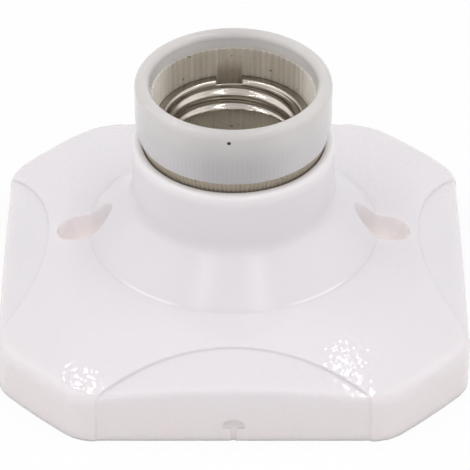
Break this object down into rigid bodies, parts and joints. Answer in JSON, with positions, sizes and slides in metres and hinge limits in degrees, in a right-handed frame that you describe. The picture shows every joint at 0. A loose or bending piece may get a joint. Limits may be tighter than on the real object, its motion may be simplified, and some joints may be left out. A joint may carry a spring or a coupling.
{
  "type": "lamp holder",
  "caption": "White surface-mount lamp holder: a glazed porcelain socket insert with a plated screw shell stands in the round collar of a square plastic base with cut corners.",
  "frame": {"origin": "centre of the base's back face, on the wall plane, on the lamp axis", "axes": "+Z out of the wall along the lamp axis; the two wall screw slots lie along X; -Y is the side nearest the camera in the picture"},
  "size_m": [0.0958, 0.0958, 0.0548],
  "materials": {
    "white_moulding": "glossy white urea moulding",
    "porcelain": "white glaze on the ring, bare grey-beige porcelain below and inside",
    "plated_shell": "bright nickel plated sheet",
    "contact_bronze": "phosphor bronze strip",
    "terminal_brass": "bare brass",
    "zinc_steel": "zinc plated steel"
  },
  "bodies": {
    "holder": {"base_housing": "white_moulding", "porcelain_insert": "porcelain", "screw_shell": "plated_shell", "contact_screw": "zinc_steel", "shell_screw": "zinc_steel", "live_terminal": "terminal_brass", "neutral_terminal": "terminal_brass", "fixing_screw_right": "zinc_steel", "fixing_screw_left": "zinc_steel", "spring_washer_right": "zinc_steel", "spring_washer_left": "zinc_steel", "fixing_nut_right": "zinc_steel", "fixing_nut_left": "zinc_steel"},
    "contact_leaf": {"centre_contact": "contact_bronze"},
    "live_clamp": {"live_clamp_washer": "zinc_steel"},
    "live_screw": {"live_wire_screw": "zinc_steel"},
    "neutral_clamp": {"neutral_clamp_washer": "zinc_steel"},
    "neutral_screw": {"neutral_wire_screw": "zinc_steel"}
  },
  "joints": [
    {"name": "contact_flex", "type": "hinge", "parent": "holder", "child": "contact_leaf", "pos_m": [0, 0.0054, 0.02975], "axis": [1, 0, 0], "range_deg": [0, 11], "stiffness_Nm_per_rad": 0.18, "deforming": ["centre_contact"]},
    {"name": "live_clamp_slide", "type": "slide", "parent": "holder", "child": "live_clamp", "axis": [0, 0, -1], "range_m": [0, 0.002]},
    {"name": "live_screw_turn", "type": "hinge", "parent": "live_clamp", "child": "live_screw", "pos_m": [0.0043, 0.0088, 0.0225], "axis": [0, 0, -1], "range_deg": [0, 1200]},
    {"name": "neutral_clamp_slide", "type": "slide", "parent": "holder", "child": "neutral_clamp", "axis": [0, 0, -1], "range_m": [0, 0.002]},
    {"name": "neutral_screw_turn", "type": "hinge", "parent": "neutral_clamp", "child": "neutral_screw", "pos_m": [-0.0043, -0.0088, 0.0225], "axis": [0, 0, -1], "range_deg": [0, 1200]}
  ],
  "couplings": [
    {"joint": "live_screw_turn", "follows": "live_clamp_slide", "rad_per_m": 10472},
    {"joint": "neutral_screw_turn", "follows": "neutral_clamp_slide", "rad_per_m": 10472}
  ]
}
